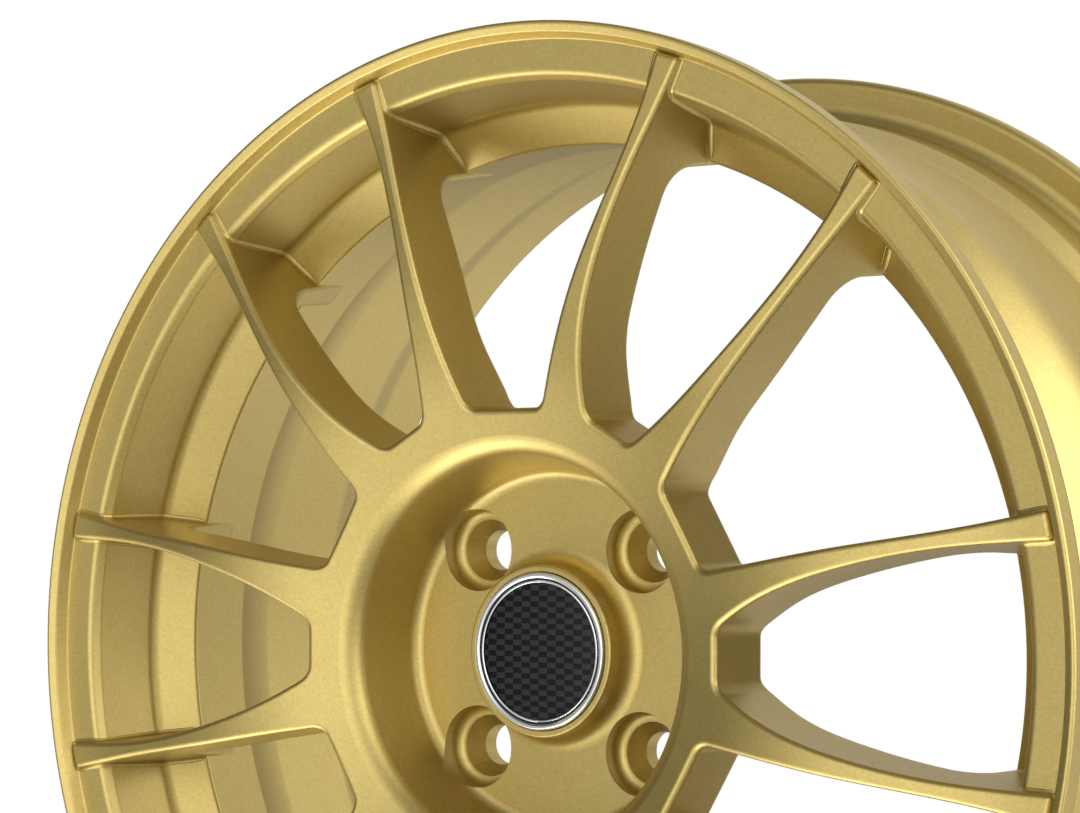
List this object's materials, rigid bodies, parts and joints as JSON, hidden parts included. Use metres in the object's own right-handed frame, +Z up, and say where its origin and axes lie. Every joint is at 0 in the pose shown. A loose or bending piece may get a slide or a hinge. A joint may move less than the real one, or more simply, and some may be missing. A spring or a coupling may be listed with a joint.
{
  "type": "racing wheel rim",
  "caption": "One-piece light alloy racing wheel with paired slim spokes, a dished hub for four bolts, a snap-in centre cap and a clamp-in tyre valve.",
  "frame": {"origin": "centre of the face that bolts to the hub, on the wheel's axle", "axes": "+Y along the axle towards the car, the street side of the wheel faces -Y, +Z up; the wheel turns about Y"},
  "size_m": [0.4716, 0.2058, 0.4714],
  "materials": {
    "gold_lacquer": "satin gold metallic lacquer on forged aluminium",
    "spigot_aluminium": "turned",
    "cap_plastic": "gloss black moulded",
    "cap_chrome": "bright chrome plate",
    "badge_laminate": "clear dome over a black woven-look sheet",
    "spring_steel": "drawn wire",
    "valve_metal": "nickel plated",
    "valve_rubber": "moulded",
    "core_brass": "turned"
  },
  "bodies": {
    "wheel": {"barrel": "gold_lacquer", "hub": "gold_lacquer", "spoke_01": "gold_lacquer", "spoke_02": "gold_lacquer", "spoke_03": "gold_lacquer", "spoke_04": "gold_lacquer", "spoke_05": "gold_lacquer", "spoke_06": "gold_lacquer", "spoke_07": "gold_lacquer", "spoke_08": "gold_lacquer", "spoke_09": "gold_lacquer", "spoke_10": "gold_lacquer", "spoke_11": "gold_lacquer", "spoke_12": "gold_lacquer", "spigot_ring": "spigot_aluminium", "valve_stem": "valve_metal", "valve_grommet": "valve_rubber", "valve_washer": "valve_metal", "valve_nut": "valve_metal", "valve_core_body": "core_brass", "valve_core_spring": "spring_steel"},
    "centre_cap": {"cap_body": "cap_plastic", "cap_spring_ring": "spring_steel", "cap_bezel": "cap_chrome", "cap_trim_ring": "cap_chrome", "cap_badge": "badge_laminate"},
    "valve_pin": {"valve_core_pin": "core_brass", "valve_core_seal": "valve_rubber"},
    "valve_cap_lift": {"valve_cap_seal": "valve_rubber"},
    "valve_cap_turn": {"valve_cap": "valve_metal"}
  },
  "joints": [
    {"name": "centre_cap_pull", "type": "slide", "parent": "wheel", "child": "centre_cap", "axis": [0, -1, 0], "range_m": [0, 0.03]},
    {"name": "valve_pin_press", "type": "slide", "parent": "wheel", "child": "valve_pin", "axis": [0, 0.8531, -0.5217], "range_m": [0, 0.0012], "stiffness_N_per_m": 800, "springref_m": -0.0005},
    {"name": "valve_cap_rise", "type": "slide", "parent": "wheel", "child": "valve_cap_lift", "axis": [0, -0.8531, 0.5217], "range_m": [0, 0.00635]},
    {"name": "valve_cap_unscrew", "type": "hinge", "parent": "valve_cap_lift", "child": "valve_cap_turn", "pos_m": [0, -0.04187, -0.18783], "axis": [0, -0.8531, 0.5217], "range_deg": [0, 2880]}
  ],
  "couplings": [
    {"joint": "valve_cap_unscrew", "follows": "valve_cap_rise", "rad_per_m": 7913.3}
  ]
}
